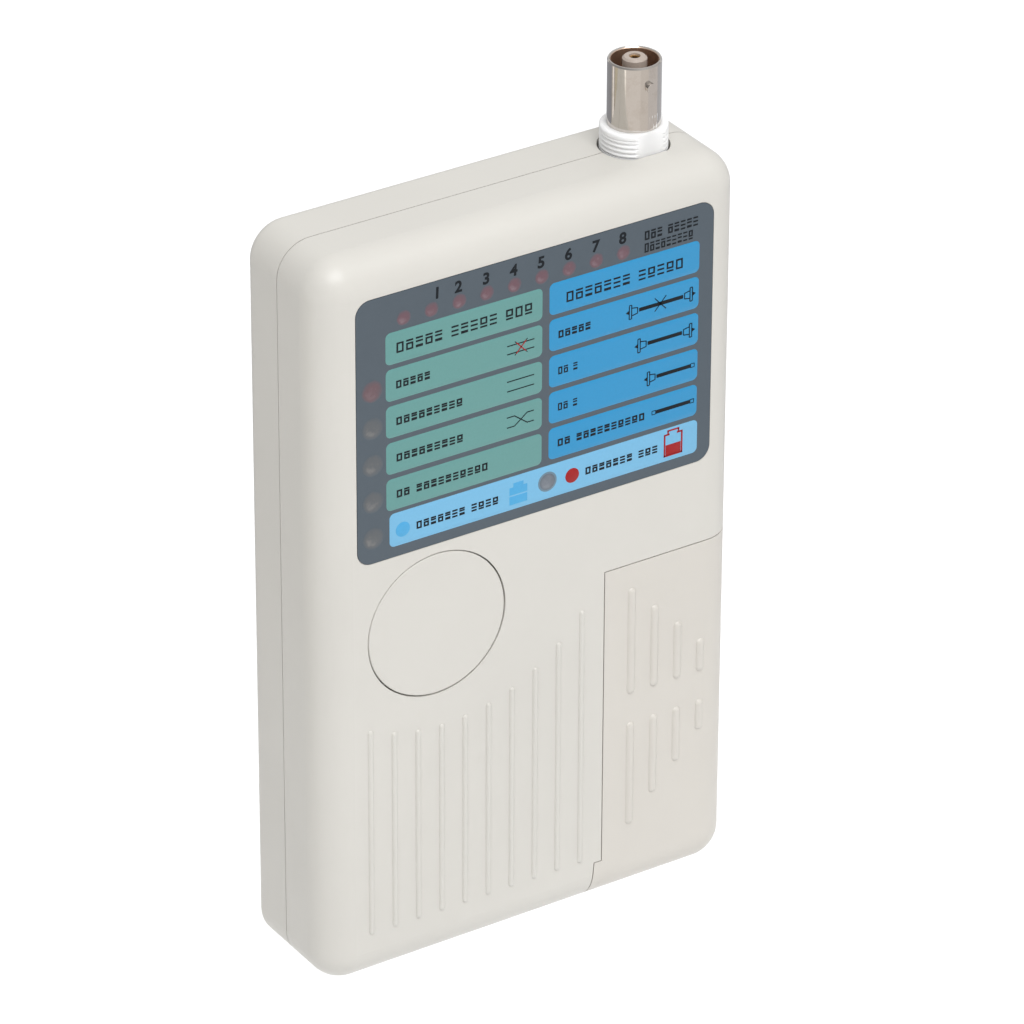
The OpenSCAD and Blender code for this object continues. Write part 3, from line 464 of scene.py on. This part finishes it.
GREEN_INK = print_ink("green_ink", (0.098, 0.266, 0.254))
BLUE_INK = print_ink("blue_ink", (0.006, 0.234, 0.481))
PALE_BLUE_INK = print_ink("pale_blue_ink", (0.142, 0.400, 0.620))
DARK_INK = print_ink("dark_ink", (0.010, 0.013, 0.017), 0.5, gloss=0.12)
RED_INK = print_ink("red_ink", (0.300, 0.010, 0.012), gloss=0.2)
SKY_INK = print_ink("sky_ink", (0.060, 0.330, 0.600), gloss=0.3)

# Panels: a green and a blue column, each a header and four rows, in millimetres
GREEN_X = (-30.4, 1.55)
BLUE_X = (3.0, 34.3)
GREEN_HEADER, GREEN_TOP = 124.2, 117.1
BLUE_HEADER, BLUE_TOP = 124.45, 117.35
ROW_PITCH = 7.16
ROW_H = 6.2
PANEL_R = 1.0
HEADER_TEXT_Z = 127.15
LINE = 0.2


def panel_rows(x, header, first):
    """Outlines of a header panel and the four rows below it."""
    levels = [header] + [first - i * ROW_PITCH for i in range(4)]
    return [rounded_outline(x[0], x[1], z, z + ROW_H, PANEL_R) for z in levels]


def row_z(first, i):
    """The middle of a row."""
    return first + ROW_H / 2 - i * ROW_PITCH


print_plates("green_panels", panel_rows(GREEN_X, GREEN_HEADER, GREEN_TOP), GREEN_INK)
print_plates("blue_panels", panel_rows(BLUE_X, BLUE_HEADER, BLUE_TOP), BLUE_INK)
print_plates("battery_panel", [rounded_outline(-29.8, 34.5, 88.3, 94.9, PANEL_R)], PALE_BLUE_INK)


def block_mark(x0, x1, z0, z1):
    """A plain block."""
    return [(x0, z0), (x1, z0), (x1, z1), (x0, z1)]


def strip(x0, z0, x1, z1, width):
    """A straight line of the given width."""
    d = Vector((x1 - x0, z1 - z0)).normalized() * (width / 2)
    return [(x0 + d.y, z0 - d.x), (x1 + d.y, z1 - d.x), (x1 - d.y, z1 + d.x), (x0 - d.y, z0 + d.x)]


def disc(x, z, r, steps=28):
    """A round dot."""
    turns = [2 * math.pi * i / steps for i in range(steps)]
    return [(x + r * math.cos(a), z + r * math.sin(a)) for a in turns]


def frame_mark(x0, x1, z0, z1, w):
    """An open box with sides of width w."""
    return [block_mark(x0, x0 + w, z0, z1), block_mark(x1 - w, x1, z0, z1),
            block_mark(x0 + w, x1 - w, z0, z0 + w), block_mark(x0 + w, x1 - w, z1 - w, z1)]


def bar_marks(x0, x1, z0, z1, w, count):
    """Level bars of width w, one above the other."""
    step = (z1 - z0 - w) / (count - 1)
    return [block_mark(x0, x1, z0 + i * step, z0 + i * step + w) for i in range(count)]


def word_marks(x0, x1, z, height, pattern):
    """Stand-in for a line of print: plain boxes and bars, in groups of the pattern's counts."""
    gap, fill = 0.7, 0.74
    place = (x1 - x0) / (sum(pattern) + gap * (len(pattern) - 1))
    w = min(0.23 * place, 0.34)
    lo, hi = z - height / 2, z + height / 2
    marks, at, turn = [], 0.0, 0
    for group in pattern:
        for _ in range(group):
            left, right = x0 + at * place, x0 + (at + fill) * place
            kind = (turn * 7 + turn // 3) % 5
            if kind == 0:
                marks += frame_mark(left, right, lo, hi, w)
            elif kind == 1:
                marks += bar_marks(left, right, lo, hi, w, 3)
            elif kind == 2:
                marks += frame_mark(left, right, lo, hi - 0.3 * height, w)
                marks.append(block_mark(left, right, hi - w, hi))
            elif kind == 3:
                marks += frame_mark(left, right, lo + 0.3 * height, hi, w)
                marks.append(block_mark(left, right, lo, lo + w))
            else:
                marks += bar_marks(left, right, lo + 0.5 * height, hi, w, 2)
                marks.append(block_mark(left, right, lo, lo + 1.5 * w))
            at += 1
            turn += 1
        at += gap
    return marks


def plug_icon(x0, x1, z, side):
    """Outline of a cable plug; side is the end that the cable leaves it from."""
    tall = 1.35
    tip, neck = (x0, x1) if side > 0 else (x1, x0)
    flange = tip + side * 0.75
    cup = flange + side * 0.5
    neck -= side * 0.3
    bars = [strip(flange, z - tall, flange, z + tall, LINE), strip(cup, z - tall, cup, z + tall, LINE)]
    bars += [strip(min(flange, cup), z + s * tall, max(flange, cup), z + s * tall, LINE) for s in (-1, 1)]
    bars += [strip(cup, z + s * 0.75, neck, z + s * 0.55, LINE) for s in (-1, 1)]
    bars.append(strip(neck, z - 0.6, neck, z + 0.6, LINE))
    bars.append([(tip, z), (flange, z - 0.45), (flange, z + 0.45)])
    return bars


def open_end(x0, x1, z):
    """Bare end of a cable: a small open box."""
    w, h = 0.14, 0.36
    bars = [strip(x0, z + s * h, x1, z + s * h, w) for s in (-1, 1)]
    return bars + [strip(x, z - h, x, z + h, w) for x in (x0 + w / 2, x1 - w / 2)]


def cross(x0, x1, z, half, width):
    """Two strokes that cross out a wire."""
    return [strip(x0, z - s * half, x1, z + s * half, width) for s in (-1, 1)]


def panel_words():
    """The rows of boxes and bars that stand in for the print."""
    marks = word_marks(-28.2, -0.1, HEADER_TEXT_Z, 2.0, (5, 5, 3))
    marks += word_marks(6.5, 31.3, HEADER_TEXT_Z, 2.0, (7, 5))
    for i, (x1, pattern) in enumerate(((-21.1, (5,)), (-14.5, (9,)), (-14.4, (9,)), (-9.3, (2, 10)))):
        marks += word_marks(-28.3, x1, row_z(GREEN_TOP, i) - 0.15, 1.5, pattern)
    for i, (x1, pattern) in enumerate(((11.9, (5,)), (9.2, (2, 1)), (9.2, (2, 1)), (23.5, (2, 10)))):
        marks += word_marks(4.9, x1, row_z(BLUE_TOP, i) - 0.15, 1.45, pattern)
    marks += word_marks(22.7, 34.2, 134.6, 1.75, (3, 5))
    marks += word_marks(22.7, 33.1, 132.2, 1.75, (9,))
    marks += word_marks(-24.3, -7.1, 91.15, 1.5, (7, 4))
    marks += word_marks(10.8, 26.4, 91.4, 1.45, (7, 3))
    return marks


def wire_icons():
    """On the green rows: two shorted wires, two wires, two crossed wires."""
    x0, x1 = -5.7, -0.1
    short_z, open_z, cross_z = (row_z(GREEN_TOP, i) for i in range(3))
    marks = [strip(x0, short_z + dz, x1, short_z + dz, LINE) for dz in (-0.85, 0.75)]
    marks += [strip(x0, open_z + dz, x1, open_z + dz, LINE) for dz in (-1.0, 0.9)]
    for s in (-1, 1):
        marks.append(strip(x0, cross_z - s, x0 + 1.65, cross_z - s, LINE))
        marks.append(strip(x0 + 1.6, cross_z - s, x1 - 1.4, cross_z + s, LINE))
        marks.append(strip(x1 - 1.45, cross_z + s, x1, cross_z + s, LINE))
    return marks + cross(-4.1, -1.5, short_z - 0.05, 1.35, 0.16)


def cable_icons():
    """On the blue rows: a cable with two plugs shorted, with two plugs, with one plug, and bare."""
    bar = 0.72
    cables = ((18.9, 21.7, 31.0, 33.7, 2), (20.8, 23.6, 30.9, 33.7, 2), (22.9, 25.6, 32.8, 33.7, 1),
              (24.7, 25.6, 32.8, 33.7, 0))
    marks = []
    for i, (left, start, end, right, plugs) in enumerate(cables):
        z = row_z(BLUE_TOP, i) - 0.05
        marks.append(strip(start, z, end, z, bar))
        marks += plug_icon(left, start, z, 1) if plugs > 0 else open_end(left, start, z)
        marks += plug_icon(end, right, z, -1) if plugs > 1 else open_end(end, right, z)
    return marks + cross(25.0, 27.4, row_z(BLUE_TOP, 0) - 0.05, 1.3, 0.18)


print_plates("panel_marks", panel_words() + wire_icons() + cable_icons(), DARK_INK, number=2, edge=0.02)
print_plates("short_cross", cross(-3.8, -1.8, row_z(GREEN_TOP, 0) - 0.05, 1.05, LINE), RED_INK,
             number=3, edge=0.02)


def battery_icon(x0, x1, z0, z1):
    """Outline of a battery with a cap."""
    w = 0.34
    cap = (x1 - x0) * 0.22
    neck = z1 - 0.75
    return [
        strip(x0, z0 + w / 2, x1, z0 + w / 2, w), strip(x0 + w / 2, z0, x0 + w / 2, neck, w),
        strip(x1 - w / 2, z0, x1 - w / 2, neck, w), strip(x0, neck, x0 + cap + w, neck, w),
        strip(x1 - cap - w, neck, x1, neck, w), strip(x0 + cap, neck, x0 + cap, z1, w),
        strip(x1 - cap, neck, x1 - cap, z1, w), strip(x0 + cap - w / 2, z1, x1 - cap + w / 2, z1, w),
    ]


DOT_R = 1.45
good_marks = [disc(-27.1, 91.25, DOT_R), block_mark(-5.1, -1.4, 89.25, 90.9),
              block_mark(-5.1, -1.4, 91.2, 92.7), block_mark(-4.3, -2.2, 92.7, 93.5)]
low_marks = [disc(8.0, 91.4, DOT_R), block_mark(27.8, 31.0, 89.4, 91.5)]
low_marks += battery_icon(27.4, 31.4, 89.15, 94.3)
print_plates("good_marks", good_marks, SKY_INK, number=2)
print_plates("low_marks", low_marks, RED_INK, number=2)


def print_digits():
    """The numbers 1 to 8 above the pin lights."""
    base, top = layer(1)
    height, line_z = 3.0 * MM, 134.45 * MM
    middle = (PIN_LO.x + PIN_HI.x) / 2
    pitch = (PIN_HI.x - PIN_LO.x - 3.4 * MM) / 8
    bm = bmesh.new()
    for digit in range(1, 9):
        curve = bpy.data.curves.new("digit", "FONT")
        curve.body = str(digit)
        curve.size = height
        curve.align_x = "CENTER"
        curve.extrude = (base - top) / 2
        curve.offset = 0.1 * MM
        curve.shear = 0.04
        curve.resolution_u = 6
        made = bpy.data.objects.new("digit", curve)
        bpy.context.scene.collection.objects.link(made)
        bpy.context.view_layer.update()
        mesh = bpy.data.meshes.new_from_object(made.evaluated_get(bpy.context.evaluated_depsgraph_get()))
        nudge = 1.1 * MM if digit == 1 else -0.2 * MM
        place = Matrix.Translation((middle + (digit - 4) * pitch + nudge, (base + top) / 2, line_z))
        mesh.transform(place @ Matrix.Rotation(math.pi / 2, 4, "X"))
        bm.from_mesh(mesh)
        bpy.data.objects.remove(made)
        bpy.data.curves.remove(curve)
        bpy.data.meshes.remove(mesh)
    bmesh.ops.remove_doubles(bm, verts=bm.verts, dist=1e-7)
    add_piece("pin_numbers", bm, DARK_INK, "main_unit", smooth=False)


print_digits()


# ---------- lights seen through the film ----------


def add_window(bm, light, x, z, r, rise):
    """A low dome embossed in the film, closed behind; light holds how pale each point looks, and the pale crescent
    in it is a painted highlight for the lit edge of the hole behind the film.
    """
    rings, spokes = 7, 36
    # side of the painted highlight: the lit edge of the hole behind the film, towards the lower left
    crescent = math.radians(235)
    back = FILM_FACE + 0.02 * MM
    spoke_turns = [2 * math.pi * k / spokes for k in range(spokes)]

    def height(t):
        return FILM_FACE - rise * math.cos(t * math.pi / 2) ** 0.8 - 0.002 * MM

    centre = bm.verts.new((x, height(0), z))
    centre[light] = 0.5
    last = None
    for i in range(1, rings + 1):
        t = i / rings
        ring = []
        for a in spoke_turns:
            v = bm.verts.new((x + r * t * math.cos(a), height(t), z + r * t * math.sin(a)))
            towards = 0.5 + 0.5 * math.cos(a - crescent)
            # the second term paints the crescent of light on the side that the painted highlight faces
            v[light] = 0.5 * (1 - t ** 4) + 0.8 * (t * (1 - t ** 3)) ** 2 * towards ** 3
            ring.append(v)
        for k in range(spokes):
            j = (k + 1) % spokes
            if last is None:
                bm.faces.new((centre, ring[k], ring[j]))
            else:
                bm.faces.new((last[k], ring[k], ring[j], last[j]))
        last = ring
    rim = [bm.verts.new((v.co.x, back, v.co.z)) for v in last]
    for v in rim:
        v[light] = 0.0
    for k in range(spokes):
        j = (k + 1) % spokes
        bm.faces.new((last[k], rim[k], rim[j], last[j]))
    bm.faces.new(rim)


def lens_row(name, places, r, rise, material):
    """One piece of windows at the given places."""
    bm = bmesh.new()
    light = bm.verts.layers.float.new("light")
    for x, z in places:
        add_window(bm, light, x, z, r, rise)
    add_piece(name, bm, material, "main_unit")


def spread(lo, hi, count):
    """Numbers evenly spaced from lo to hi."""
    return [lo + (hi - lo) * i / (count - 1) for i in range(count)]


PIN_R = (PIN_HI.z - PIN_LO.z) / 2
COND_R = (COND_HI.x - COND_LO.x) / 2
BAT_X, BAT_Z = (BAT_LO.x + BAT_HI.x) / 2, (BAT_LO.z + BAT_HI.z) / 2
PIN_WINDOW_R, COND_WINDOW_R, BAT_WINDOW_R = 1.5 * MM, 2.2 * MM, 1.8 * MM
BAT_RING_R = 1.95

pin_places = [(x, (PIN_LO.z + PIN_HI.z) / 2) for x in spread(PIN_LO.x + PIN_R, PIN_HI.x - PIN_R, 9)]
cond_places = [((COND_LO.x + COND_HI.x) / 2, z) for z in spread(COND_HI.z - COND_R, COND_LO.z + COND_R, 5)]
# Each lens's second colour is the pale crescent, a painted highlight for the lit edge of the hole behind the film
RED_LENS = led_epoxy("red_lens", (0.125, 0.062, 0.080), (0.30, 0.24, 0.27))
lens_row("pin_windows", pin_places, PIN_WINDOW_R, 0.10 * MM, RED_LENS)
DULL_RED_LENS = led_epoxy("dull_red_lens", (0.118, 0.068, 0.080), (0.25, 0.19, 0.21))
lens_row("condition_window_1", cond_places[:1], COND_WINDOW_R, 0.12 * MM, DULL_RED_LENS)
GREY_LENS = led_epoxy("grey_lens", (0.088, 0.096, 0.104), (0.27, 0.255, 0.24))
lens_row("condition_windows", cond_places[1:], COND_WINDOW_R, 0.12 * MM, GREY_LENS)
RING_INK = print_ink("ring_ink", (0.115, 0.190, 0.250))
print_plates("battery_window_ring", [disc(BAT_X / MM, BAT_Z / MM, BAT_RING_R)], RING_INK, number=2)
CLEAR_LENS = led_epoxy("clear_lens", (0.135, 0.155, 0.185), (0.28, 0.30, 0.33))
lens_row("battery_window", [(BAT_X, BAT_Z)], BAT_WINDOW_R, 0.16 * MM, CLEAR_LENS)


# ---------- stage ----------


def make_floor():
    """Pale floor, below the lowest place that the sliding parts reach."""
    travel = max(joint["range_m"][1] for joint in frame["joints"])
    spare = 60 * MM
    bm = bmesh.new()
    bmesh.ops.create_grid(bm, x_segments=8, y_segments=8, size=12.0)
    mesh = bpy.data.meshes.new("floor")
    bm.to_mesh(mesh)
    bm.free()
    s = Surface("floor_paper", (0.97, 0.97, 0.97), 0.9, Specular_IOR_Level=0.0)
    mesh.materials.append(s.material)
    floor = bpy.data.objects.new("floor", mesh)
    floor.location = (0, 0, -travel - spare)
    bpy.context.scene.collection.objects.link(floor)


def make_world():
    """Studio surround, brighter overhead and darker on the left."""
    world = bpy.data.worlds.new("studio")
    world.use_nodes = True
    nodes, links = world.node_tree.nodes, world.node_tree.links
    place = nodes.new("ShaderNodeTexCoord")
    split = nodes.new("ShaderNodeSeparateXYZ")
    links.new(place.outputs["Generated"], split.inputs[0])
    both = nodes.new("ShaderNodeMath")
    both.operation = "MULTIPLY"
    # strength goes from to_low at the axis's low to to_high at its high
    for i, (axis, low, high, to_low, to_high) in enumerate((("Z", -0.1, 1.0, 0.49, 0.95),
                                                            ("X", -1.0, 0.0, 0.50, 1.0))):
        ramp = nodes.new("ShaderNodeMapRange")
        links.new(split.outputs[axis], ramp.inputs["Value"])
        for name, value in zip(("From Min", "From Max", "To Min", "To Max"), (low, high, to_low, to_high)):
            ramp.inputs[name].default_value = value
        links.new(ramp.outputs["Result"], both.inputs[i])
    background = nodes["Background"]
    links.new(both.outputs["Value"], background.inputs["Strength"])
    background.inputs["Color"].default_value = (1.0, 1.0, 1.0, 1)
    bpy.context.scene.world = world


def add_softbox(name, towards, distance, size, power):
    """A rectangular area light that shines at the object from a direction."""
    data = bpy.data.lights.new(name, "AREA")
    data.shape = "RECTANGLE"
    data.size, data.size_y = size
    data.energy = power
    light = bpy.data.objects.new(name, data)
    aim = Vector((0, 0, 75 * MM))
    direction = Vector(towards).normalized()
    light.location = aim + direction * distance
    light.rotation_euler = direction.to_track_quat("Z", "Y").to_euler()
    bpy.context.scene.collection.objects.link(light)


# Bands that the nickel barrel mirrors: how far round from the camera each one ends, in degrees
BANDS = ((-110, (0.36, 0.37, 0.40)), (-103, (0.58, 0.55, 0.51)), (-95, (1.25, 1.2, 1.15)),
         (-90, (0.44, 0.40, 0.36)), (-51, (0.68, 0.63, 0.49)), (-37, (1.6, 1.55, 1.45)),
         (25, (0.92, 0.87, 0.82)), (60, (0.84, 0.79, 0.74)), (112, (0.76, 0.73, 0.71)),
         (180, (0.58, 0.59, 0.62)))


def make_reflection_drum():
    """A banded drum round the object that only shows in reflections."""
    radius, low, high, count = 0.3, -0.098, 0.12, 96
    turns = [2 * math.pi * i / count for i in range(count)]
    bm = bmesh.new()
    rings = [[bm.verts.new((radius * math.cos(a), radius * math.sin(a), z)) for a in turns]
             for z in (low, high)]
    for i in range(count):
        j = (i + 1) % count
        bm.faces.new((rings[0][i], rings[1][i], rings[1][j], rings[0][j]))
    mesh = bpy.data.meshes.new("reflection_drum")
    bm.to_mesh(mesh)
    bm.free()
    s = Surface("reflection_bands", (0, 0, 0), 1.0, Specular_IOR_Level=0.0, Emission_Strength=1.0)
    place = s.add("ShaderNodeSeparateXYZ", {"Vector": s.place})
    angle = s.calc("ARCTAN2", place.outputs["Y"], place.outputs["X"])
    turn = s.remap(angle, -math.pi, math.pi, 0, 1)
    blur = 0.004
    start, color = BANDS[0]
    for end, band in BANDS[1:]:
        at = (start + 180) / 360
        color = s.mix(s.remap(turn, at - blur, at + blur, 0, 1), color, band)
        start = end
    s.links.new(color, s.shader.inputs["Emission Color"])
    mesh.materials.append(s.material)
    drum = bpy.data.objects.new("reflection_drum", mesh)
    drum.location = (BARREL_X, BARREL_Y, 0)
    drum.rotation_euler = (0, 0, -math.radians(90 + CAMERA_AZIMUTH))
    for ray in ("camera", "diffuse", "shadow", "transmission", "volume_scatter"):
        setattr(drum, "visible_" + ray, False)
    bpy.context.scene.collection.objects.link(drum)


make_floor()
make_world()
make_reflection_drum()
add_softbox("key_softbox", (-0.12, -0.50, 0.86), 3.2, (2.2, 1.4), 78)

scene = bpy.context.scene
scene.view_settings.view_transform = "Standard"
scene.view_settings.look = "None"
